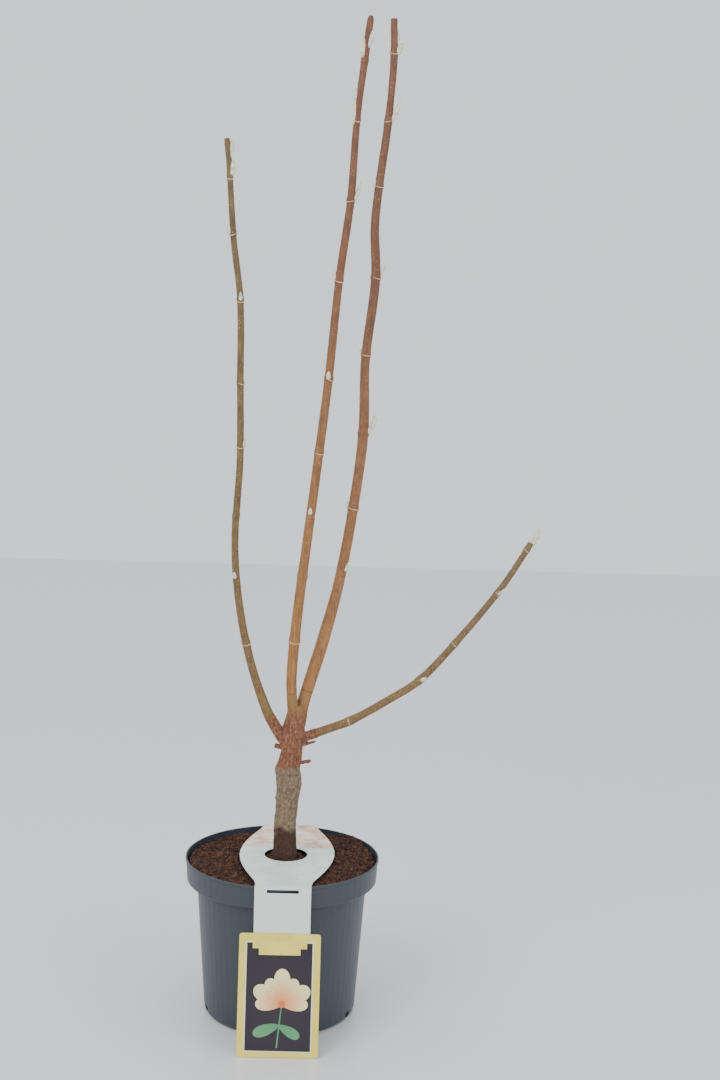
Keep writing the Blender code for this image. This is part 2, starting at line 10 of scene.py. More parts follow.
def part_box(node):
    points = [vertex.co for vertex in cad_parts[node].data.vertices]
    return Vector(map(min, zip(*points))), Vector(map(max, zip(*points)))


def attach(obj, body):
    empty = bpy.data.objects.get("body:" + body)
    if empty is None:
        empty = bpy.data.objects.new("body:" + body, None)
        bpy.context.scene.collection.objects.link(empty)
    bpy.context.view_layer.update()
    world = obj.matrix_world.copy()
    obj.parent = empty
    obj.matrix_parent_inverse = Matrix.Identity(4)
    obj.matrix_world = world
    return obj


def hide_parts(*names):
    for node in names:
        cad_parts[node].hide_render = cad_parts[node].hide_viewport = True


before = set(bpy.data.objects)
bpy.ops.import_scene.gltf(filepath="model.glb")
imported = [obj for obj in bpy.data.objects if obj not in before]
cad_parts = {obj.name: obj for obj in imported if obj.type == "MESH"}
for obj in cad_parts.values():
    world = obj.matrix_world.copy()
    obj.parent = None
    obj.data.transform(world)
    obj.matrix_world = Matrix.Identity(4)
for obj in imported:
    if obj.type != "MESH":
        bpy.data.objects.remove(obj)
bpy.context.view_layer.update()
rng = np.random.default_rng(7)

# Sizes shared with the solids, in metres
GAP = 0.0003
SEAT_HEIGHT = 0.2030
SOIL_LEVEL = 0.2020
MOUND_HEIGHT = 0.0075
MOUND_REACH = 0.012
MOUND_POWER = 1.3
SOIL_ROUGHNESS = 0.0012
SOIL_GRAIN = 90.0
SOIL_GRAIN_LEVEL = 0.3
RIM_HEAP_HEIGHT = 0.009
RIM_HEAP_PLACE = (0.085, 0.070)
RIM_HEAP_REACH = 0.030
FOOT_CENTRE = (0.003, 0.0)
FOOT_RADIUS = 0.0165
LABEL_CENTRE_X = 0.006
LABEL_STRAP_HALF = 0.0355
LABEL_WAIST_HALF = 0.063
LABEL_WAIST_REACH = 0.115
LABEL_WAIST_Y = 0.01
LABEL_HOLE_RADIUS = 0.0285
LABEL_HOLE_CENTRE = (0.0045, 0.004)
LABEL_CLEARANCE = 0.011
LABEL_CLEARANCE_RUN = 0.010
SOIL_UNDER_LABEL = 0.0025
CARD_HEIGHT = 0.153
CARD_THICK = 0.0010
CARD_LEAN_RUN = 0.0279
NODE_SWELL = 0.14
NODE_REACH = 0.0035
TANGENT_STEP = 0.002

# Trunk: centre line and radius by height, from the flat cut at soil level to the fork
TRUNK_TOP = 0.412
TRUNK_GUIDES = [
    (0.0030, 0.0, SEAT_HEIGHT + GAP), (0.0030, 0.0, 0.215), (0.0028, 0.0, 0.257), (0.0067, 0.0, 0.305),
    (0.0050, 0.0, 0.325), (0.0080, 0.0, 0.343), (0.0098, 0.0, 0.367), (0.0125, 0.001, 0.392),
    (0.0155, 0.002, TRUNK_TOP),
]
TRUNK_RADII = [
    (0.2033, 0.0165), (0.222, 0.0150), (0.257, 0.0143), (0.285, 0.0145), (0.305, 0.0166), (0.325, 0.0162),
    (0.336, 0.0146), (0.352, 0.0140), (0.372, 0.0158), (0.388, 0.0138), (TRUNK_TOP, 0.0098),
]

# Spurs and swellings on the trunk: height, bearing in degrees, length, radius at the foot and at the end
TRUNK_SPURS = [
    (0.3525, 180.0, 0.0085, 0.0034, 0.0032),
    (0.3560, 5.0, 0.0190, 0.0026, 0.0014),
    (0.3320, -8.0, 0.0150, 0.0024, 0.0022),
    (0.2850, 200.0, 0.0030, 0.0045, 0.0020),
    (0.3050, -75.0, 0.0025, 0.0060, 0.0045),
]

# Stems, as in the solids: guide points, radius by height, heights of the two cuts, heights of the nodes,
# and buds by height, bearing in degrees, length, radius and lean away from the stem
STEMS = {
    "left": {
        "guides": [
            (0.006, 0.000, 0.358), (-0.0078, -0.003, 0.3759), (-0.0247, -0.010, 0.4085),
            (-0.0468, -0.022, 0.4776), (-0.0616, -0.037, 0.5575), (-0.0667, -0.050, 0.636),
            (-0.0612, -0.063, 0.7383), (-0.0620, -0.0712, 0.8378), (-0.0632, -0.0791, 0.9351),
            (-0.0719, -0.0850, 1.0066), (-0.0787, -0.0926, 1.1003), (-0.0815, -0.0947, 1.1257),
        ],
        "radii": [(0.358, 0.0080), (0.395, 0.0070), (0.45, 0.0055), (0.60, 0.0046), (0.94, 0.0041),
                  (1.07, 0.0036), (1.12, 0.0036), (1.1257, 0.0030)],
        "cuts": (0.400, 0.580),
        "nodes": [0.500, 0.667, 0.756, 0.835, 0.935, 1.015, 1.0805],
        "buds": [(0.588, -110.0, 0.008, 0.0018, 0.10), (0.756, -20.0, 0.009, 0.0018, 0.12),
                 (0.936, -80.0, 0.009, 0.0018, 0.12), (1.015, 190.0, 0.012, 0.0020, 0.08),
                 (1.084, -25.0, 0.017, 0.0024, 0.10), (1.104, 0.0, 0.024, 0.0022, 0.12)],
    },
    "inner_left": {
        "guides": [
            (0.0120, -0.001, 0.380), (0.0099, -0.0040, 0.4073), (0.0070, -0.0060, 0.4476),
            (0.0123, -0.0083, 0.5277), (0.0236, -0.0113, 0.6331), (0.0351, -0.0143, 0.7369),
            (0.0459, -0.0173, 0.8389), (0.0563, -0.0209, 0.9642), (0.0682, -0.0237, 1.0627),
            (0.0733, -0.0265, 1.1596), (0.0810, -0.0286, 1.2313), (0.0872, -0.0300, 1.2840),
        ],
        "radii": [(0.380, 0.0075), (0.43, 0.0068), (0.50, 0.0069), (0.61, 0.0062), (0.76, 0.0058),
                  (0.89, 0.0053), (1.04, 0.0050), (1.18, 0.0043), (1.225, 0.0045), (1.25, 0.0045),
                  (1.279, 0.0043), (1.284, 0.0026)],
        "cuts": (0.430, 0.660),
        "nodes": [0.500, 0.586, 0.747, 0.841, 0.964, 1.0627, 1.1596, 1.231],
        "buds": [(0.668, -100.0, 0.008, 0.0020, 0.10), (0.8414, -95.0, 0.009, 0.0022, 0.10),
                 (0.9642, 185.0, 0.012, 0.0020, 0.12), (1.0627, 0.0, 0.025, 0.0024, 0.22),
                 (1.1560, 185.0, 0.030, 0.0034, 0.02), (1.1800, 180.0, 0.024, 0.0020, 0.02),
                 (1.2350, 210.0, 0.024, 0.0026, 0.04), (1.2480, -30.0, 0.020, 0.0024, 0.05)],
    },
    "inner_right": {
        "guides": [
            (0.0150, 0.002, 0.372), (0.0220, 0.0055, 0.4100), (0.0311, 0.0110, 0.4436),
            (0.0467, 0.0200, 0.4962), (0.0662, 0.0340, 0.5749), (0.0833, 0.0535, 0.6795),
            (0.0926, 0.0679, 0.7674), (0.0929, 0.0788, 0.8635), (0.1034, 0.0866, 0.9686),
            (0.1009, 0.0897, 1.0466), (0.1146, 0.0950, 1.1760), (0.1196, 0.0981, 1.2528),
            (0.1184, 0.1000, 1.3050),
        ],
        "radii": [(0.372, 0.0085), (0.43, 0.0083), (0.50, 0.0083), (0.56, 0.0071), (0.70, 0.0067),
                  (0.77, 0.0070), (0.84, 0.0061), (0.97, 0.0063), (1.05, 0.0057), (1.17, 0.0053),
                  (1.20, 0.0046), (1.26, 0.0050), (1.275, 0.0047), (1.305, 0.0045)],
        "cuts": (0.430, 0.580),
        "nodes": [0.669, 0.767, 0.871, 0.972, 1.091, 1.175, 1.262],
        "buds": [(0.588, -35.0, 0.012, 0.0022, 0.12), (0.669, 180.0, 0.008, 0.0022, 0.10),
                 (0.7674, -10.0, 0.030, 0.0030, 0.32), (0.8714, 180.0, 0.006, 0.0018, 0.10),
                 (0.9725, -5.0, 0.017, 0.0016, 0.30), (1.0880, 185.0, 0.014, 0.0024, 0.05),
                 (1.1747, -10.0, 0.032, 0.0026, 0.26), (1.2620, -5.0, 0.013, 0.0034, 0.35),
                 (1.2760, 0.0, 0.016, 0.0016, 0.10)],
    },
    "low_right": {
        "guides": [
            (0.0090, 0.000, 0.366), (0.0250, 0.0019, 0.3697), (0.0520, 0.0119, 0.3773),
            (0.0873, 0.0251, 0.3884), (0.1357, 0.0432, 0.4126), (0.1778, 0.0589, 0.4376),
            (0.2287, 0.0779, 0.4900), (0.2848, 0.0989, 0.5566), (0.3209, 0.1110, 0.6108),
            (0.3262, 0.1120, 0.6206),
        ],
        "radii": [(0.366, 0.0062), (0.372, 0.0059), (0.39, 0.0053), (0.44, 0.0051), (0.55, 0.0044),
                  (0.6206, 0.0041)],
        "cuts": (0.3745, 0.4340),
        "nodes": [0.387, 0.437, 0.4847, 0.552, 0.611],
        "buds": [(0.4380, -70.0, 0.007, 0.0020, 0.20), (0.5520, -60.0, 0.012, 0.0018, 0.55),
                 (0.6060, 150.0, 0.011, 0.0020, 0.10), (0.6190, 20.0, 0.026, 0.0032, -0.10)],
    },
}

# Skins: how finely tubes are divided, and the relief that is pushed into them
SEAM = 0.9999
MERGE_DISTANCE = 0.000005
FINE_RELIEF_SHARE = 0.5
FINE_RELIEF_SCALE = 2.7
LIMB_STEP = 0.0016
LIMB_SIDES = 28
LIMB_RELIEF = 0.00016
LIMB_GRAIN = 420.0
LIMB_STRETCH = 0.22
BUD_SIDES = 16
BUD_RINGS = 5
BUD_FULLNESS = 1.3
BUD_RELIEF = 0.00025
BUD_GRAIN = 900.0
BUD_STRETCH = 0.3
BUD_SEED_STEP = 3.7

# A bud from foot to tip: share of its length, share of the stem's radius it stands out, share of its width
BUD_SHAPE = [
    (-0.10, 0.30, 0.60), (0.08, 0.85, 0.95), (0.35, 1.0, 1.0), (0.65, 1.0, 0.80), (0.88, 1.0, 0.42),
    (1.0, 1.0, 0.12),
]

# Leaf scars: a thin raised line half round a node, lowest in its middle
SCAR_POINTS = 13
SCAR_HALF_TURN = 85.0
SCAR_DROP = 0.0026
SCAR_THIN = 0.00025
SCAR_EXTRA = 0.00045
SCAR_SIDES = 8
SCAR_FACING_EVEN = -75.0
SCAR_FACING_ODD = -90.0
LEAF_SPIRAL = 137.5

# Pale warts in the bark
LENTICEL_STEP = 0.0022
LENTICEL_SHIFT = 0.002
LENTICEL_TOP_MARGIN = 0.01
LENTICEL_SIZES = (0.00022, 0.00048)
LENTICEL_LENGTH = 1.5
LENTICEL_HEIGHT = 0.6
BLOB_SUBDIVISIONS = 1

# Trunk skin: voxel size, and the relief of old bark, graft ledge, crack and round knot
TRUNK_STEP = 0.002
TRUNK_SIDES = 48
COLLAR_SIDES = 32
SPUR_SIDES = 14
SPUR_RINGS = 6
SPUR_RISE = 0.25
TRUNK_VOXEL = 0.0008
TRUNK_SMOOTHING = 0.5
FLAT_CUT_MARGIN = 0.0006
BARK_FADE = 0.02
BARK_STRETCH = 0.6
LUMP_HEIGHT = 0.0007
LUMP_GRAIN = 70.0
RIDGE_HEIGHT = 0.00075
RIDGE_BASE = 0.0003
RIDGE_GRAIN = 150.0
FLAKE_HEIGHT = 0.00035
FLAKE_GRAIN = 480.0
LEDGE_HEIGHT = 0.0016
LEDGE_Z = 0.327
LEDGE_REACH = 0.004
LEDGE_X = 0.006
LEDGE_RUN = 0.016
CRACK_DEPTH = 0.0018
CRACK_PLACE = (0.01, 0.3215)
CRACK_SLOPE = 0.1
CRACK_REACH = 0.0009
CRACK_ENDS = (0.004, 0.019)
KNOT_HEIGHT = 0.0014
KNOT_PLACE = (0.0, 0.305)
KNOT_RADIUS = 0.0045
KNOT_REACH = 0.0016

# Peat crumbs, each a squashed ball
CRUMB_COUNT = 5200
CRUMB_FIELD = 0.122
CRUMB_RIM = 0.1215
CRUMB_WALL = 0.1235
CRUMB_FOOT_MARGIN = 0.0008
CRUMB_HOLE_MARGIN = 0.002
CRUMB_SIZES = [0.0008, 0.0012, 0.0018, 0.0027]
CRUMB_SHARES = [0.35, 0.35, 0.2, 0.1]
CRUMB_SMALLEST = 0.0006
CRUMB_STRETCHES = ((0.6, 1.6), (0.5, 1.1), (0.4, 0.9))
CRUMB_TURN = 6.28
CRUMB_PROUD = 0.2

# The label's front tail hangs outside the rim; the solid label ends at its fold
TAIL_FRONT_Y = -0.1291
TAIL_TOP = 0.2096
TAIL_BOTTOM = 0.122
TAIL_ROWS = (0.150, 0.178)
TAIL_THICK = 0.0003
TAIL_SLOT_HALF = 0.020
TAIL_SLOT_TOP = 0.2070
TAIL_SLOT_BOTTOM = 0.2028

# Print on the card: half widths, heights up the card, and how far each plate stands off it
PRINT_THICK = 0.00012
CREAM_PLATE = (0.0425, 0.0065, 0.1430)
CREAM_PROUD = 0.0001
DARK_PLATE = (0.0410, 0.0080, 0.1415)
DARK_PROUD = 0.0003
TITLE_OUTLINE = [
    (-0.026, 0.1265), (0.026, 0.1265), (0.026, 0.1345), (0.034, 0.1345), (0.034, 0.1425), (-0.034, 0.1425),
    (-0.034, 0.1345), (-0.026, 0.1345),
]
FIELD_MIDDLE = 0.07
TITLE_MIDDLE = 0.135
TITLE_PROUD = 0.0005
BLOSSOM_HEART = (0.004, 0.066)
STALK_HALF = 0.0009
STALK_FOOT = (-0.006, -0.0042, 0.012)
STALK_PROUD = 0.0005
LEAF_ROOT = (-0.003, -0.026)
LEAF_PROUD = 0.0006
LEAF_LIFT = 0.0001
PETAL_PROUD = 0.0008
PETAL_LIFT = 0.00016
PETAL_POINTS = 24
PETAL_ROOT_WIDTH = 0.55
PETAL_TIP_WIDTH = 0.45
HEART_RADIUS = 0.0045
HEART_STEP = 20
HEART_PROUD = 0.0020

# Leaves and petals on the card: bearing in degrees, length, half width
CARD_LEAVES = [(200, 0.034, 0.009), (330, 0.030, 0.008)]
CARD_PETALS = [
    (90, 0.044, 0.013), (30, 0.040, 0.013), (150, 0.040, 0.013), (60, 0.036, 0.011), (120, 0.036, 0.011),
    (0, 0.033, 0.010), (180, 0.033, 0.010),
]

# Colours, as linear red, green and blue; with a position where they are stops of a ramp
OLIVE_LOW, OLIVE_HIGH = (0.20, 0.125, 0.045), (0.15, 0.105, 0.045)
GOLD, RED = (0.34, 0.165, 0.050), (0.17, 0.070, 0.035)
STREAK_STOPS = [(0.30, (0.42, 0.38, 0.34)), (0.62, (1.25, 1.15, 1.0))]
MOTTLE_STOPS = [(0.35, (0.70, 0.62, 0.58)), (0.65, (1.15, 1.15, 1.05))]
SCION_STOPS = [(0.30, (0.055, 0.020, 0.012)), (0.50, (0.20, 0.075, 0.035)), (0.72, (0.42, 0.22, 0.12))]
STOCK_STOPS = [(0.30, (0.07, 0.045, 0.025)), (0.52, (0.20, 0.14, 0.085)), (0.75, (0.36, 0.28, 0.18))]
SPLASH_STOPS = [(0.35, (0.018, 0.007, 0.004)), (0.65, (0.075, 0.030, 0.016))]
FORK_COLOUR = (0.30, 0.16, 0.055)
BUD_COLOURS = [(0.42, 0.38, 0.24), (0.72, 0.72, 0.58), (0.88, 0.88, 0.80)]
SCAR_COLOURS = [(0.45, 0.30, 0.16), (0.72, 0.58, 0.38)]
LENTICEL_COLOURS = [(0.50, 0.36, 0.20), (0.75, 0.62, 0.42)]
PEAT_COLOURS = [(0.010, 0.004, 0.003), (0.045, 0.016, 0.009), (0.12, 0.045, 0.022)]
CRUMB_COLOURS = [(0.012, 0.005, 0.003), (0.055, 0.020, 0.011), (0.16, 0.065, 0.032)]
POT_COLOURS = [(0.028, 0.036, 0.047), (0.040, 0.050, 0.064)]
CARD_COLOURS = [(0.80, 0.64, 0.08), (0.88, 0.76, 0.16)]
LABEL_FRONT_STOPS = [(0.35, (0.60, 0.78, 0.70)), (0.65, (0.80, 0.90, 0.85))]
LABEL_BACK_STOPS = [
    (0.30, (0.30, 0.24, 0.27)), (0.42, (0.80, 0.50, 0.35)), (0.55, (0.85, 0.74, 0.58)),
    (0.70, (0.90, 0.88, 0.80)),
]
PRINT_GRAIN_STOPS = [(0.3, (0.75, 0.75, 0.75)), (0.7, (1.15, 1.15, 1.15))]

# Printed finishes: name, colour in the middle, colour outside, and how far the change between them reaches
CREAM = ("card_cream", (0.90, 0.86, 0.68), (0.88, 0.84, 0.62), 0.1)
AUBERGINE = ("card_aubergine", (0.030, 0.018, 0.030), (0.014, 0.010, 0.018), 0.09)
TITLE_YELLOW = ("card_title_yellow", (0.88, 0.76, 0.16), (0.80, 0.66, 0.10), 0.05)
PETAL = ("card_petal", (0.90, 0.22, 0.06), (0.92, 0.80, 0.42), 0.030)
LEAF_GREEN = ("card_leaf", (0.05, 0.22, 0.10), (0.12, 0.34, 0.16), 0.05)
HEART = ("card_heart", (0.75, 0.12, 0.04), (0.60, 0.30, 0.08), 0.006)

# Heights on the trunk, and depths on the label, between which one finish runs into the next
GRAFT_LINE = (0.347, 0.352)
FORK_FADE = (0.410, 0.445)
SPLASH_LINE = (0.266, 0.276)
LINE_WANDER = 0.045
LABEL_BACK_EDGE = (0.030, 0.036)

# Young bark: the streaks and the mottle are laid over the colour, each with its scale and share
STREAK_SCALE = (500.0, 500.0, 30.0)
STREAK_SHARE = 0.75
STREAK_BUMP = (0.35, 0.0004)
MOTTLE_NOISE = (60.0, 3.0)
MOTTLE_SHARE = 0.6
BARK_ROUGHNESS = 0.55

# Trunk bark; a noise is given by scale, detail and roughness, a bump by strength and distance
WANDER_NOISE = (34.0, 4.0)
FLAKE_STRETCH = (1.0, 1.0, 0.6)
FLAKE_NOISE = (330.0, 8.0, 0.7)
FLAKE_BUMP = (0.9, 0.0012)
TRUNK_ROUGHNESS = 0.85

# Paper and print
FRONT_WASH = (32.0, 3.0)
BACK_WASH = (55.0, 4.0)
PAPER_NOISE = (900.0, 2.0)
PAPER_BUMP = (0.08, 0.0002)
PAPER_ROUGHNESS = 0.38
PRINT_NOISE = (260.0, 4.0)
PRINT_GRAIN_SHARE = 0.35
PRINT_ROUGHNESS = 0.35

# Bark of each stem: name, colour low down, colour higher up, and the heights between which it changes
STEM_BARKS = {
    "left": ("olive_bark_left", OLIVE_LOW, OLIVE_HIGH, 0.40, 1.0),
    "inner_left": ("golden_bark_left", GOLD, RED, 0.45, 1.05),
    "inner_right": ("golden_bark_right", GOLD, RED, 0.40, 0.95),
    "low_right": ("olive_bark_right", OLIVE_LOW, OLIVE_HIGH, 0.37, 0.6),
}

# Speckled finishes: name, colours, scale of the grain, roughness, and strength and distance of the bump
SPECKLE_START = 0.30
SPECKLE_WIDTH = 0.40
SILVER_BUD = ("silver_bud", BUD_COLOURS, 260.0, 0.75, 0.6, 0.0006)
LEAF_SCAR = ("leaf_scar", SCAR_COLOURS, 500.0, 0.8, 0.5, 0.0005)
LENTICEL = ("lenticel", LENTICEL_COLOURS, 500.0, 0.8, 0.5, 0.0005)
PEAT = ("peat", PEAT_COLOURS, 420.0, 0.95, 1.0, 0.002)
PEAT_CRUMB = ("peat_crumb", CRUMB_COLOURS, 160.0, 0.95, 0.5, 0.0005)
POT_PLASTIC = ("pot_plastic", POT_COLOURS, 900.0, 0.42, 0.12, 0.0002)
CARD_YELLOW = ("card_yellow", CARD_COLOURS, 30.0, 0.35, 0.05, 0.0001)

# Places of the sockets on the colour Mix node
MIX_FACTOR, MIX_A, MIX_B = 0, 6, 7
MIX_RESULT = 2

# Camera and stage
CAMERA_PLACE = (0.0716, -2.0524, 0.9053)
CAMERA_PITCH, CAMERA_ROLL, CAMERA_YAW = 0.1317, 0.0275, 0.0097
CAMERA_LENS = 53.33
CAMERA_SENSOR = 36.0
FLOOR_SIZE = 4.0
FLOOR_DROP = 0.0003
FLOOR_COLOUR = (0.80, 0.81, 0.83)
FLOOR_ROUGHNESS = 0.35
SKY_COLOUR = (0.93, 0.95, 0.98)
SKY_STRENGTH = 1.15
LAMPS = (("key", (-1.6, -2.2, 2.6), 1.6, 50.0), ("fill", (2.2, -1.8, 1.4), 2.0, 18.0))
LAMP_AIM = (0.0, 0.0, 0.5)


# Curves and heights shared with the solids

def between(table, value):
    """Value read off a table of (position, size) pairs by straight lines."""
    for (low, a), (high, b) in zip(table, table[1:]):
        if value <= high:
            share = max(0.0, (value - low) / (high - low))
            return a + (b - a) * share
    return table[-1][1]


def smooth_path(guides, per_span=40):
    """Closely spaced points on a smooth curve through the guide points."""
    points = [Vector(g) for g in guides]
    ends = [points[0] * 2 - points[1]] + points + [points[-1] * 2 - points[-2]]
    path = []
    for i in range(1, len(ends) - 2):
        before, start, stop, after = ends[i - 1:i + 3]
        length = (stop - start).length
        leave = (stop - before) * (length / ((stop - start).length + (start - before).length))
        arrive = (after - start) * (length / ((after - stop).length + (stop - start).length))
        for k in range(per_span):
            t = k / per_span
            path.append(start * (2 * t ** 3 - 3 * t ** 2 + 1) + leave * (t ** 3 - 2 * t ** 2 + t)
                        + stop * (3 * t ** 2 - 2 * t ** 3) + arrive * (t ** 3 - t ** 2))
    path.append(points[-1])
    return path


class Line:
    """A centre line that can be read by distance from its start, or by height."""

    def __init__(self, guides):
        self.points = smooth_path(guides)
        self.reach = [0.0]
        for a, b in zip(self.points, self.points[1:]):
            self.reach.append(self.reach[-1] + (b - a).length)

    def length(self):
        return self.reach[-1]

    def at(self, distance):
        for i in range(1, len(self.reach)):
            if distance <= self.reach[i]:
                share = (distance - self.reach[i - 1]) / (self.reach[i] - self.reach[i - 1])
                return self.points[i - 1].lerp(self.points[i], share)
        return self.points[-1]

    def direction(self, distance):
        return (self.at(distance + TANGENT_STEP) - self.at(distance - TANGENT_STEP)).normalized()

    def distance_at_height(self, height):
        for i in range(1, len(self.points)):
            if self.points[i].z >= height:
                low, high = self.points[i - 1].z, self.points[i].z
                share = (self.reach[i] - self.reach[i - 1]) * (height - low) / (high - low)
                return self.reach[i - 1] + share
        return self.length()


def label_half_width(y):
    bulge = max(0.0, 1.0 - abs(y - LABEL_WAIST_Y) / LABEL_WAIST_REACH)
    return LABEL_STRAP_HALF + (LABEL_WAIST_HALF - LABEL_STRAP_HALF) * math.sin(bulge * math.pi / 2)


def soil_height(x, y):
    """Height of the loose surface: rough, heaped at the foot of the trunk and at the back right rim."""
    away = math.hypot(x - FOOT_CENTRE[0], y - FOOT_CENTRE[1])
    heap = 0.0
    if away < FOOT_RADIUS + MOUND_REACH:
        heap = MOUND_HEIGHT * max(0.0, 1.0 - (away - FOOT_RADIUS) / MOUND_REACH) ** MOUND_POWER
    rim = math.hypot(x - RIM_HEAP_PLACE[0], y - RIM_HEAP_PLACE[1]) / RIM_HEAP_REACH
    rim_heap = RIM_HEAP_HEIGHT * math.exp(-rim * rim)
    rough = SOIL_ROUGHNESS * noise.noise(Vector((x * SOIL_GRAIN, y * SOIL_GRAIN, SOIL_GRAIN_LEVEL)))
    beside_label = abs(x - LABEL_CENTRE_X) - label_half_width(y)
    share = min(1.0, max(0.0, (beside_label - LABEL_CLEARANCE) / LABEL_CLEARANCE_RUN))
    height = SOIL_LEVEL + rough + rim_heap * share + heap
    if away > LABEL_HOLE_RADIUS - LABEL_CLEARANCE and heap == 0.0 and share < 1.0:
        height = min(height, SEAT_HEIGHT + SOIL_UNDER_LABEL)
    return height


def stem_radius(stem, height):
    radius = between(stem["radii"], height)
    for node in stem["nodes"]:
        radius *= 1.0 + NODE_SWELL * math.exp(-((height - node) / NODE_REACH) ** 2)
    return radius


# Meshes and pieces

def new_piece(name, bm, mats, node=None):
    mesh = bpy.data.meshes.new(name)
    bm.to_mesh(mesh)
    bm.free()
    return place_mesh(name, mesh, mats, node)


def place_mesh(name, mesh, mats, node=None):
    mesh.shade_smooth()
    for mat in mats:
        mesh.materials.append(mat)
    obj = bpy.data.objects.new(name, mesh)
    bpy.context.scene.collection.objects.link(obj)
    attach(obj, "root")
    if node:
        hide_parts(node)
    return obj


def dress(node, mat):
    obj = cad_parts[node]
    obj.data.materials.clear()
    obj.data.materials.append(mat)


def add_skin(bm, points, radii, sides_round, relief=0.0, grain=0.0, stretch=1.0, seed=0.0):
    """A closed tube through the points, from a grid rolled round them, with relief pushed along it."""
    rows = len(points)
    made = bmesh.ops.create_grid(bm, x_segments=sides_round, y_segments=rows - 1, size=1.0)["verts"]
    tangents = [(points[min(i + 1, rows - 1)] - points[max(i - 1, 0)]).normalized() for i in range(rows)]
    side = tangents[0].orthogonal().normalized()
    sides = []
    for tangent in tangents:
        side = (side - tangent * side.dot(tangent)).normalized()
        sides.append(side)
    for v in made:
        row = round((v.co.y + 1.0) / 2.0 * (rows - 1))
        angle = 0.0 if v.co.x > SEAM else (v.co.x + 1.0) * math.pi
        across = tangents[row].cross(sides[row])
        out = sides[row] * math.cos(angle) + across * math.sin(angle)
        spot = points[row] + out * radii[row]
        if relief:
            place = Vector((spot.x, spot.y, spot.z * stretch)) * grain + Vector((seed, seed, seed))
            fine = relief * FINE_RELIEF_SHARE * noise.noise(place * FINE_RELIEF_SCALE)
            spot = spot + out * (relief * noise.noise(place) + fine)
        v.co = spot
    bmesh.ops.remove_doubles(bm, verts=made, dist=MERGE_DISTANCE)
    alive = [v for v in made if v.is_valid]
    rim = list({e for v in alive for e in v.link_edges if e.is_boundary})
    bmesh.ops.holes_fill(bm, edges=rim, sides=0)


def stations(line, start, stop, step):
    """Points on a centre line, evenly spaced between two distances along it."""
    count = max(2, round((stop - start) / step))
    return [line.at(start + (stop - start) * i / count) for i in range(count + 1)]


def finer(points, radii, per_span):
    """More rings between those given, on a smooth run."""
    fine = smooth_path([tuple(p) for p in points], per_span)
    places = [i / per_span for i in range(len(fine))]
    widths = [float(np.interp(place, range(len(radii)), radii)) for place in places]
    return fine, widths


def joined_blobs(name, frames, mat):
    """One mesh of many small bodies; each frame is a 3 by 4 place of a unit ball."""
    bm = bmesh.new()
    bmesh.ops.create_icosphere(bm, subdivisions=BLOB_SUBDIVISIONS, radius=1.0)
    verts = np.array([v.co[:] for v in bm.verts])
    faces = np.array([[v.index for v in f.verts] for f in bm.faces])
    bm.free()
    frames = np.array(frames)
    placed = np.einsum("nij,vj->nvi", frames[:, :, :3], verts) + frames[:, None, :, 3]
    links = (faces[None] + (np.arange(len(frames)) * len(verts))[:, None, None]).reshape(-1, 3)
    mesh = bpy.data.meshes.new(name)
    mesh.from_pydata(placed.reshape(-1, 3).tolist(), [], links.tolist())
    return place_mesh(name, mesh, [mat], None)


# Shader nodes

def material(name):
    mat = bpy.data.materials.new(name)
    mat.use_nodes = True
    tree = mat.node_tree
    return mat, tree, tree.nodes["Principled BSDF"]


def place_node(tree):
    return tree.nodes.new("ShaderNodeTexCoord").outputs["Object"]


def scaled(tree, vector, scale):
    mapping = tree.nodes.new("ShaderNodeMapping")
    mapping.inputs["Scale"].default_value = scale
    tree.links.new(vector, mapping.inputs["Vector"])
    return mapping.outputs["Vector"]


def noise_node(tree, vector, scale, detail=6.0, rough=0.6):
    tex = tree.nodes.new("ShaderNodeTexNoise")
    tex.inputs["Scale"].default_value = scale
    tex.inputs["Detail"].default_value = detail
    tex.inputs["Roughness"].default_value = rough
    tree.links.new(vector, tex.inputs["Vector"])
    return tex.outputs["Fac"]


def ramp(tree, fac, stops):
    node = tree.nodes.new("ShaderNodeValToRGB")
    elements = node.color_ramp.elements
    while len(elements) < len(stops):
        elements.new(0.5)
    for element, (position, color) in zip(elements, stops):
        element.position = position
        element.color = (*color, 1.0)
    tree.links.new(fac, node.inputs["Fac"])
    return node.outputs["Color"]


def mixed(tree, fac, a, b, blend="MIX"):
    node = tree.nodes.new("ShaderNodeMix")
    node.data_type = "RGBA"
    node.blend_type = blend
    for source, place in ((fac, MIX_FACTOR), (a, MIX_A), (b, MIX_B)):
        socket = node.inputs[place]
        if hasattr(source, "links"):
            tree.links.new(source, socket)
        elif isinstance(source, tuple):
            socket.default_value = (*source, 1.0)
        else:
            socket.default_value = source
    return node.outputs[MIX_RESULT]


def span(tree, value, low, high):
    node = tree.nodes.new("ShaderNodeMapRange")
    node.inputs["From Min"].default_value = low
    node.inputs["From Max"].default_value = high
    tree.links.new(value, node.inputs["Value"])
    return node.outputs["Result"]


def axis(tree, vector, name):
    split = tree.nodes.new("ShaderNodeSeparateXYZ")
    tree.links.new(vector, split.inputs[0])
    return split.outputs[name]


def bump(tree, shader, height, strength, distance):
    node = tree.nodes.new("ShaderNodeBump")
    node.inputs["Strength"].default_value = strength
    node.inputs["Distance"].default_value = distance
    tree.links.new(height, node.inputs["Height"])
    tree.links.new(node.outputs["Normal"], shader.inputs["Normal"])


# Materials

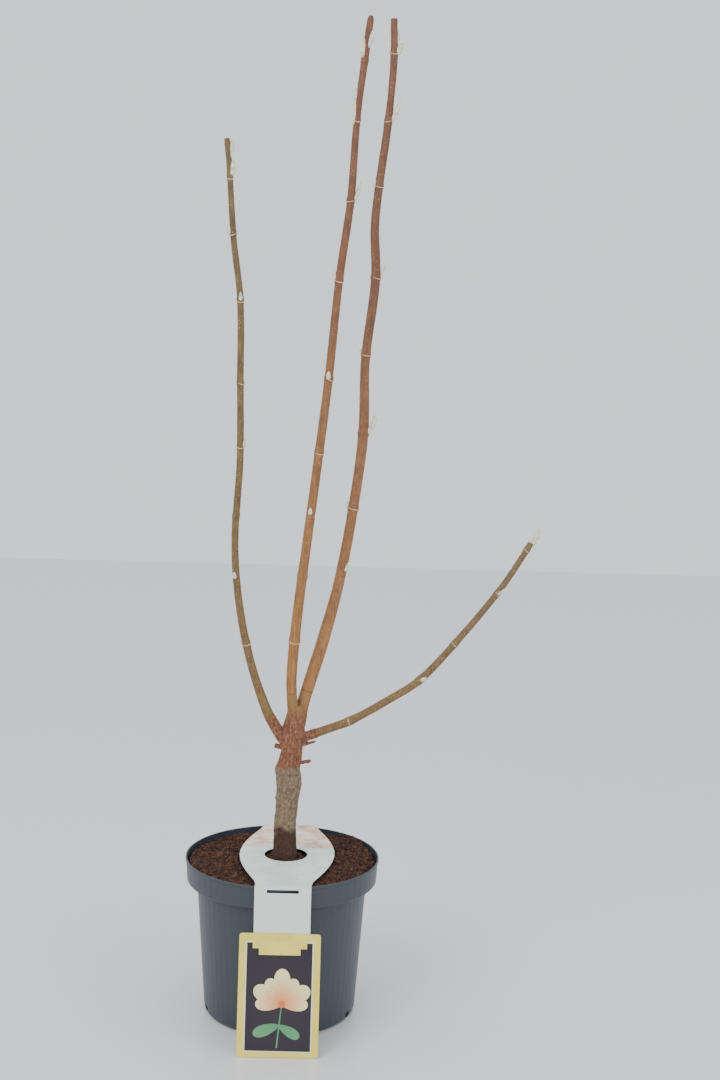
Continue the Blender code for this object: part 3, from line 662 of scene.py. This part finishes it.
def bark_material(name, low, high, low_z, high_z):
    """Smooth young bark: one colour low down, another higher, with streaks along it and a mottle."""
    mat, tree, shader = material(name)
    place = place_node(tree)
    base = mixed(tree, span(tree, axis(tree, place, "Z"), low_z, high_z), low, high)
    streak = noise_node(tree, scaled(tree, place, STREAK_SCALE), 1.0)
    base = mixed(tree, STREAK_SHARE, base, ramp(tree, streak, STREAK_STOPS), "MULTIPLY")
    mottle = noise_node(tree, place, *MOTTLE_NOISE)
    base = mixed(tree, MOTTLE_SHARE, base, ramp(tree, mottle, MOTTLE_STOPS), "MULTIPLY")
    tree.links.new(base, shader.inputs["Base Color"])
    shader.inputs["Roughness"].default_value = BARK_ROUGHNESS
    bump(tree, shader, streak, *STREAK_BUMP)
    return mat


def trunk_material():
    """Flaking bark in three bands that meet on wandering lines: soil splash, grey stock and red scion."""
    mat, tree, shader = material("trunk_bark")
    place = place_node(tree)
    wander = noise_node(tree, place, *WANDER_NOISE)
    shifted = tree.nodes.new("ShaderNodeMath")
    shifted.operation = "MULTIPLY_ADD"
    tree.links.new(wander, shifted.inputs[0])
    shifted.inputs[1].default_value = LINE_WANDER
    tree.links.new(axis(tree, place, "Z"), shifted.inputs[2])
    height = shifted.outputs[0]
    flakes = noise_node(tree, scaled(tree, place, FLAKE_STRETCH), *FLAKE_NOISE)
    scion = ramp(tree, flakes, SCION_STOPS)
    stock = ramp(tree, flakes, STOCK_STOPS)
    splash = ramp(tree, flakes, SPLASH_STOPS)
    wood = mixed(tree, span(tree, height, *GRAFT_LINE), stock, scion)
    wood = mixed(tree, span(tree, height, *FORK_FADE), wood, FORK_COLOUR)
    base = mixed(tree, span(tree, height, *SPLASH_LINE), splash, wood)
    tree.links.new(base, shader.inputs["Base Color"])
    shader.inputs["Roughness"].default_value = TRUNK_ROUGHNESS
    bump(tree, shader, flakes, *FLAKE_BUMP)
    return mat


def speckled_material(name, colors, scale, roughness, strength, distance):
    """Even specks of the colours, from a fine noise that also roughens the surface."""
    mat, tree, shader = material(name)
    grain = noise_node(tree, place_node(tree), scale)
    last = len(colors) - 1
    stops = [(SPECKLE_START + SPECKLE_WIDTH * i / last, color) for i, color in enumerate(colors)]
    tree.links.new(ramp(tree, grain, stops), shader.inputs["Base Color"])
    shader.inputs["Roughness"].default_value = roughness
    bump(tree, shader, grain, strength, distance)
    return mat


def label_material():
    """Satin paper with a plain wash: mint in front, and warm from just behind the hole backwards."""
    mat, tree, shader = material("label_paper")
    place = place_node(tree)
    front = ramp(tree, noise_node(tree, place, *FRONT_WASH), LABEL_FRONT_STOPS)
    back = ramp(tree, noise_node(tree, place, *BACK_WASH), LABEL_BACK_STOPS)
    base = mixed(tree, span(tree, axis(tree, place, "Y"), *LABEL_BACK_EDGE), front, back)
    tree.links.new(base, shader.inputs["Base Color"])
    shader.inputs["Roughness"].default_value = PAPER_ROUGHNESS
    bump(tree, shader, noise_node(tree, place, *PAPER_NOISE), *PAPER_BUMP)
    return mat


def printed_material(centre, name, inner, outer, reach):
    """A printed flat colour that runs from the middle outward, with a fine print grain."""
    mat, tree, shader = material(name)
    place = place_node(tree)
    moved = tree.nodes.new("ShaderNodeMapping")
    moved.inputs["Location"].default_value = [-c for c in centre]
    tree.links.new(place, moved.inputs["Vector"])
    length = tree.nodes.new("ShaderNodeVectorMath")
    length.operation = "LENGTH"
    tree.links.new(moved.outputs["Vector"], length.inputs[0])
    base = mixed(tree, span(tree, length.outputs["Value"], 0.0, reach), inner, outer)
    grain = noise_node(tree, place, *PRINT_NOISE)
    base = mixed(tree, PRINT_GRAIN_SHARE, base, ramp(tree, grain, PRINT_GRAIN_STOPS), "MULTIPLY")
    tree.links.new(base, shader.inputs["Base Color"])
    shader.inputs["Roughness"].default_value = PRINT_ROUGHNESS
    return mat


# Trunk

def add_trunk_tubes(bm, line, stems):
    """The trunk, the collars of the four boughs and the spurs, as closed tubes that run into each other."""
    points = stations(line, 0.0, line.length(), TRUNK_STEP)
    add_skin(bm, points, [between(TRUNK_RADII, p.z) for p in points], TRUNK_SIDES)
    for stem, stem_line in stems.values():
        cut = stem_line.distance_at_height(stem["cuts"][0]) + GAP / 2
        collar = stations(stem_line, 0.0, cut, TRUNK_STEP)
        add_skin(bm, collar, [stem_radius(stem, p.z) for p in collar], COLLAR_SIDES)
    for height, angle, length, foot, end in TRUNK_SPURS:
        centre = line.at(line.distance_at_height(height))
        bearing = math.radians(angle)
        side = Vector((math.cos(bearing), math.sin(bearing), SPUR_RISE)).normalized()
        surface = between(TRUNK_RADII, height)
        route = [centre + side * (surface * 0.5), centre + side * (surface + length * 0.5),
                 centre + side * (surface + length)]
        spur, widths = finer(route, [foot, (foot + end) / 2, end], SPUR_RINGS)
        add_skin(bm, spur, widths, SPUR_SIDES)
    bmesh.ops.recalc_face_normals(bm, faces=bm.faces)


def fused_mesh(piece):
    """The piece's tubes as one skin."""
    fuse = piece.modifiers.new("fused", "REMESH")
    fuse.mode = "VOXEL"
    fuse.voxel_size = TRUNK_VOXEL
    depsgraph = bpy.context.evaluated_depsgraph_get()
    mesh = bpy.data.meshes.new_from_object(piece.evaluated_get(depsgraph))
    piece.modifiers.clear()
    return mesh


def trunk_relief(p):
    """How far the bark stands out at a point: flaking ridges up to the fork, graft ledge, crack and knot."""
    rough = max(0.0, min(1.0, (TRUNK_TOP - p.z) / BARK_FADE))
    place = Vector((p.x, p.y, p.z * BARK_STRETCH))
    ridge = 1.0 - abs(noise.noise(place * RIDGE_GRAIN)) * 2.0
    flake = FLAKE_HEIGHT * noise.noise(place * FLAKE_GRAIN)
    push = LUMP_HEIGHT * noise.noise(p * LUMP_GRAIN) + rough * (RIDGE_HEIGHT * ridge - RIDGE_BASE + flake)
    to_left = max(0.0, -(p.x - LEDGE_X) / LEDGE_RUN)
    ledge = LEDGE_HEIGHT * math.exp(-((p.z - LEDGE_Z) / LEDGE_REACH) ** 2) * to_left
    crack = 0.0
    if p.y < 0 and CRACK_ENDS[0] < p.x < CRACK_ENDS[1]:
        off_crack = p.z - CRACK_PLACE[1] + CRACK_SLOPE * (p.x - CRACK_PLACE[0])
        crack = -CRACK_DEPTH * math.exp(-(off_crack / CRACK_REACH) ** 2)
    knot = 0.0
    if p.y < 0:
        away = ((p.x - KNOT_PLACE[0]) ** 2 + (p.z - KNOT_PLACE[1]) ** 2) ** 0.5
        knot = KNOT_HEIGHT * math.exp(-((away - KNOT_RADIUS) / KNOT_REACH) ** 2)
    return push + ledge + crack + knot


def make_trunk(stems, mat):
    bm = bmesh.new()
    add_trunk_tubes(bm, Line(TRUNK_GUIDES), stems)
    trunk = new_piece("trunk_with_bark", bm, [mat], "trunk")
    mesh = fused_mesh(trunk)
    trunk.data = mesh
    bm = bmesh.new()
    bm.from_mesh(mesh)
    bmesh.ops.smooth_vert(bm, verts=bm.verts, factor=TRUNK_SMOOTHING, use_axis_x=True, use_axis_y=True,
                          use_axis_z=True)
    bm.normal_update()
    pushes = {v: v.normal * trunk_relief(v.co) for v in bm.verts}
    for v, push in pushes.items():
        if v.co.z > SEAT_HEIGHT + GAP + FLAT_CUT_MARGIN:
            v.co += push
    bm.to_mesh(mesh)
    bm.free()
    mesh.shade_smooth()


# Stems

def make_bark(name, stem, line, mat):
    """The skins of a bough and of the twig above it, which meet at the upper cut."""
    collar = line.distance_at_height(stem["cuts"][0]) + GAP / 2
    middle = line.distance_at_height(stem["cuts"][1]) + GAP / 2
    for kind, start, stop in (("bough", collar, middle), ("twig", middle, line.length())):
        bm = bmesh.new()
        points = stations(line, start, stop, LIMB_STEP)
        radii = [stem_radius(stem, p.z) for p in points]
        add_skin(bm, points, radii, LIMB_SIDES, LIMB_RELIEF, LIMB_GRAIN, LIMB_STRETCH)
        bmesh.ops.recalc_face_normals(bm, faces=bm.faces)
        new_piece(f"{kind}_{name}_bark", bm, [mat], f"{kind}_{name}")


def bud_route(stem, line, height, angle, length, radius, lean):
    """Centre line and widths of a bud that lies against its stem and leans away towards its tip."""
    along = line.distance_at_height(height)
    centre = line.at(along)
    tangent = line.direction(along)
    side = Vector((math.cos(math.radians(angle)), math.sin(math.radians(angle)), 0.0))
    side = (side - tangent * side.dot(tangent)).normalized()
    stem_r = stem_radius(stem, centre.z)
    points = []
    radii = []
    for forward, outward, width in BUD_SHAPE:
        out = stem_r * outward + lean * length * max(0.0, forward)
        points.append(centre + tangent * (length * forward) + side * out)
        radii.append(radius * width)
    return points, radii


def make_buds(name, stem, line, mat):
    bm = bmesh.new()
    for i, sizes in enumerate(stem["buds"]):
        points, radii = finer(*bud_route(stem, line, *sizes), BUD_RINGS)
        radii = [r * BUD_FULLNESS for r in radii]
        add_skin(bm, points, radii, BUD_SIDES, BUD_RELIEF, BUD_GRAIN, BUD_STRETCH, i * BUD_SEED_STEP)
    bmesh.ops.recalc_face_normals(bm, faces=bm.faces)
    new_piece(f"buds_{name}", bm, [mat], None)


def make_leaf_scars(name, stem, line, mat):
    bm = bmesh.new()
    last = SCAR_POINTS - 1
    for i, node in enumerate(stem["nodes"]):
        along = line.distance_at_height(node)
        tangent = line.direction(along)
        facing = math.radians(SCAR_FACING_ODD + LEAF_SPIRAL * i if i % 2 else SCAR_FACING_EVEN)
        side = Vector((math.cos(facing), math.sin(facing), 0.0))
        side = (side - tangent * side.dot(tangent)).normalized()
        cross = tangent.cross(side)
        ring = []
        for k in range(SCAR_POINTS):
            turn = math.radians(-SCAR_HALF_TURN + 2 * SCAR_HALF_TURN * k / last)
            drop = SCAR_DROP * math.cos(turn)
            out = side * math.cos(turn) + cross * math.sin(turn)
            ring.append(line.at(along) + out * stem_radius(stem, node) - tangent * drop)
        widths = [SCAR_THIN + SCAR_EXTRA * math.sin(math.pi * k / last) for k in range(SCAR_POINTS)]
        add_skin(bm, ring, widths, SCAR_SIDES)
    bmesh.ops.recalc_face_normals(bm, faces=bm.faces)
    new_piece(f"leaf_scars_{name}", bm, [mat], None)


def scatter_lenticels(name, stem, line, mat):
    """Small pale warts set in the bark, a little longer along the stem."""
    start = line.distance_at_height(stem["cuts"][0]) + GAP / 2
    frames = []
    for s in np.arange(start, line.length() - LENTICEL_TOP_MARGIN, LENTICEL_STEP):
        along = s + rng.uniform(0.0, LENTICEL_SHIFT)
        centre = line.at(along)
        tangent = line.direction(along)
        a = tangent.orthogonal().normalized()
        b = tangent.cross(a)
        turn = rng.uniform(0.0, 2 * math.pi)
        out = a * math.cos(turn) + b * math.sin(turn)
        size = rng.uniform(*LENTICEL_SIZES)
        spot = centre + out * stem_radius(stem, centre.z)
        across = tangent.cross(out)
        frames.append([[across[i] * size, tangent[i] * size * LENTICEL_LENGTH,
                        out[i] * size * LENTICEL_HEIGHT, spot[i]] for i in range(3)])
    joined_blobs(f"lenticels_{name}", frames, mat)


def make_stems(stems, barks, bud_mat, scar_mat, dot_mat):
    for name, (stem, line) in stems.items():
        make_bark(name, stem, line, barks[name])
        make_buds(name, stem, line, bud_mat)
        make_leaf_scars(name, stem, line, scar_mat)
        scatter_lenticels(name, stem, line, dot_mat)


# Peat

def is_bare_peat(x, y):
    """Whether a crumb may lie here: inside the rim, clear of the trunk and not under the label."""
    radius = math.hypot(x, y)
    foot = math.hypot(x - FOOT_CENTRE[0], y - FOOT_CENTRE[1])
    hole = math.hypot(x - LABEL_HOLE_CENTRE[0], y - LABEL_HOLE_CENTRE[1])
    under = abs(x - LABEL_CENTRE_X) < label_half_width(y) and hole > LABEL_HOLE_RADIUS - CRUMB_HOLE_MARGIN
    return not (radius > CRUMB_RIM or foot < FOOT_RADIUS + CRUMB_FOOT_MARGIN or under)


def make_crumbs(mat):
    frames = []
    while len(frames) < CRUMB_COUNT:
        x, y = rng.uniform(-CRUMB_FIELD, CRUMB_FIELD, 2)
        if not is_bare_peat(x, y):
            continue
        size = rng.choice(CRUMB_SIZES, p=CRUMB_SHARES)
        size = min(size, max(CRUMB_SMALLEST, (CRUMB_WALL - math.hypot(x, y))))
        turn = Matrix.Rotation(rng.uniform(0, CRUMB_TURN), 3, Vector(rng.normal(size=3)).normalized())
        stretch = [size * rng.uniform(*limits) for limits in CRUMB_STRETCHES]
        spot = (x, y, soil_height(x, y) + size * CRUMB_PROUD)
        frames.append([[turn[i][0] * stretch[0], turn[i][1] * stretch[1], turn[i][2] * stretch[2], spot[i]]
                       for i in range(3)])
    joined_blobs("peat_crumbs", frames, mat)


# Card and label

class CardFace:
    """The front face of the leaning card, with places on it read across, up, and off the face."""

    def __init__(self):
        low, high = (Vector(c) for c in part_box("picture_card"))
        slope = math.acos(CARD_LEAN_RUN / CARD_HEIGHT)
        self.up = Vector((0.0, math.cos(slope), math.sin(slope)))
        self.out = Vector((0.0, -self.up.z, self.up.y))
        self.right = Vector((1.0, 0.0, 0.0))
        self.foot = Vector(((low.x + high.x) / 2, low.y, low.z + CARD_THICK * math.cos(slope)))

    def at(self, across, along, proud=0.0):
        return self.foot + self.right * across + self.up * along + self.out * proud

    def add_plate(self, name, outline, proud, mat):
        bm = bmesh.new()
        face = bm.faces.new([bm.verts.new(self.at(a, b, proud)) for a, b in outline])
        raised = bmesh.ops.extrude_face_region(bm, geom=[face])
        tops = [g for g in raised["geom"] if isinstance(g, bmesh.types.BMVert)]
        bmesh.ops.translate(bm, verts=tops, vec=self.out * PRINT_THICK)
        bmesh.ops.recalc_face_normals(bm, faces=bm.faces)
        piece = new_piece(name, bm, [mat], None)
        piece.data.shade_flat()


def box_outline(half, bottom, top):
    return [(-half, bottom), (half, bottom), (half, top), (-half, top)]


def petal_outline(root, turn, reach, half):
    """A long rounded petal or leaf, wider towards its tip."""
    angle = math.radians(turn)
    outline = []
    for k in range(PETAL_POINTS):
        t = 2 * math.pi * k / PETAL_POINTS
        along = reach * (1 - math.cos(t)) / 2
        wide = half * math.sin(t) * (PETAL_ROOT_WIDTH + PETAL_TIP_WIDTH * along / reach)
        outline.append((root[0] + along * math.cos(angle) - wide * math.sin(angle),
                        root[1] + along * math.sin(angle) + wide * math.cos(angle)))
    return outline


def make_card_print():
    """A plain printed picture on the leaning card: an open blossom seen from the front, with two leaves."""
    card = CardFace()
    middle = card.at(0, FIELD_MIDDLE)
    card.add_plate("card_cream_line", box_outline(*CREAM_PLATE), CREAM_PROUD,
                   printed_material(middle, *CREAM))
    card.add_plate("card_dark_field", box_outline(*DARK_PLATE), DARK_PROUD,
                   printed_material(middle, *AUBERGINE))
    card.add_plate("card_title_panel", TITLE_OUTLINE, TITLE_PROUD,
                   printed_material(card.at(0, TITLE_MIDDLE), *TITLE_YELLOW))
    x, y = BLOSSOM_HEART
    heart = card.at(x, y)
    petal_mat = printed_material(heart, *PETAL)
    leaf_mat = printed_material(heart, *LEAF_GREEN)
    foot_left, foot_right, foot_height = STALK_FOOT
    stalk = [(x - STALK_HALF, y), (x + foot_left, foot_height), (x + foot_right, foot_height),
             (x + STALK_HALF, y)]
    card.add_plate("card_stalk", stalk, STALK_PROUD, leaf_mat)
    for i, leaf in enumerate(CARD_LEAVES):
        outline = petal_outline((x + LEAF_ROOT[0], y + LEAF_ROOT[1]), *leaf)
        card.add_plate(f"card_leaf_{i}", outline, LEAF_PROUD + i * LEAF_LIFT, leaf_mat)
    for i, petal in enumerate(CARD_PETALS):
        outline = petal_outline((x, y), *petal)
        card.add_plate(f"card_petal_{i}", outline, PETAL_PROUD + i * PETAL_LIFT, petal_mat)
    turns = [math.radians(a) for a in range(0, 360, HEART_STEP)]
    disc = [(x + HEART_RADIUS * math.cos(t), y + HEART_RADIUS * math.sin(t)) for t in turns]
    card.add_plate("card_blossom_heart", disc, HEART_PROUD, printed_material(heart, *HEART))


def make_front_tail(mat):
    """The label's front tail hangs from its fold over the rim, with the hanging slot just under the fold.

    It wears the plain paint that the solid label brings with it, not the wash of label_material.
    """
    columns = [LABEL_CENTRE_X - LABEL_STRAP_HALF, LABEL_CENTRE_X - TAIL_SLOT_HALF, LABEL_CENTRE_X,
               LABEL_CENTRE_X + TAIL_SLOT_HALF, LABEL_CENTRE_X + LABEL_STRAP_HALF]
    rows = [TAIL_BOTTOM, *TAIL_ROWS, TAIL_SLOT_BOTTOM, TAIL_SLOT_TOP, TAIL_TOP]
    bm = bmesh.new()
    bmesh.ops.create_grid(bm, x_segments=len(columns) - 1, y_segments=len(rows) - 1, size=1.0)
    for v in bm.verts:
        column = round((v.co.x + 1.0) / 2.0 * (len(columns) - 1))
        row = round((v.co.y + 1.0) / 2.0 * (len(rows) - 1))
        v.co = (columns[column], TAIL_FRONT_Y, rows[row])
    slot = [f for f in bm.faces if abs(f.calc_center_median().x - LABEL_CENTRE_X) < TAIL_SLOT_HALF
            and TAIL_SLOT_BOTTOM < f.calc_center_median().z < TAIL_SLOT_TOP]
    bmesh.ops.delete(bm, geom=slot, context="FACES")
    bmesh.ops.solidify(bm, geom=bm.faces[:], thickness=TAIL_THICK)
    bmesh.ops.recalc_face_normals(bm, faces=bm.faces)
    tail = new_piece("label_front_tail", bm, [mat], None)
    tail.data.shade_flat()


# Stage and camera

def set_stage():
    bm = bmesh.new()
    bmesh.ops.create_grid(bm, x_segments=2, y_segments=2, size=FLOOR_SIZE)
    mesh = bpy.data.meshes.new("floor")
    bm.to_mesh(mesh)
    bm.free()
    floor = bpy.data.objects.new("floor", mesh)
    floor.location.z = -FLOOR_DROP
    bpy.context.scene.collection.objects.link(floor)
    mat, tree, shader = material("pale_floor")
    shader.inputs["Base Color"].default_value = (*FLOOR_COLOUR, 1.0)
    shader.inputs["Roughness"].default_value = FLOOR_ROUGHNESS
    mesh.materials.append(mat)
    world = bpy.data.worlds.new("studio")
    world.use_nodes = True
    sky = world.node_tree.nodes["Background"]
    sky.inputs["Color"].default_value = (*SKY_COLOUR, 1.0)
    sky.inputs["Strength"].default_value = SKY_STRENGTH
    bpy.context.scene.world = world
    for name, spot, size, power in LAMPS:
        lamp = bpy.data.lights.new(name, "AREA")
        lamp.size = size
        lamp.energy = power
        holder = bpy.data.objects.new(name, lamp)
        holder.location = spot
        holder.rotation_euler = (Vector(LAMP_AIM) - Vector(spot)).to_track_quat("-Z", "Y").to_euler()
        bpy.context.scene.collection.objects.link(holder)


def set_camera():
    ahead = Vector((math.sin(CAMERA_YAW) * math.cos(CAMERA_PITCH),
                    math.cos(CAMERA_YAW) * math.cos(CAMERA_PITCH), -math.sin(CAMERA_PITCH)))
    level = Vector((math.cos(CAMERA_YAW), -math.sin(CAMERA_YAW), 0.0))
    above = level.cross(ahead)
    right = level * math.cos(CAMERA_ROLL) + above * math.sin(CAMERA_ROLL)
    top = above * math.cos(CAMERA_ROLL) - level * math.sin(CAMERA_ROLL)
    lens = bpy.data.cameras.new("photo_view")
    lens.lens = CAMERA_LENS
    lens.sensor_width = CAMERA_SENSOR
    camera = bpy.data.objects.new("photo_view", lens)
    rows = [(right[i], top[i], -ahead[i], CAMERA_PLACE[i]) for i in range(3)]
    camera.matrix_world = Matrix((*rows, (0.0, 0.0, 0.0, 1.0)))
    bpy.context.scene.collection.objects.link(camera)
    bpy.context.scene.camera = camera


def main():
    set_camera()
    set_stage()
    stems = {name: (stem, Line(stem["guides"])) for name, stem in STEMS.items()}
    barks = {name: bark_material(*finish) for name, finish in STEM_BARKS.items()}
    bud_mat = speckled_material(*SILVER_BUD)
    scar_mat = speckled_material(*LEAF_SCAR)
    dot_mat = speckled_material(*LENTICEL)
    make_trunk(stems, trunk_material())
    make_stems(stems, barks, bud_mat, scar_mat, dot_mat)
    dress("soil", speckled_material(*PEAT))
    make_crumbs(speckled_material(*PEAT_CRUMB))
    dress("pot", speckled_material(*POT_PLASTIC))
    dress("collar_label", label_material())
    dress("picture_card", speckled_material(*CARD_YELLOW))
    make_front_tail(bpy.data.materials["label_paper"])
    make_card_print()


main()
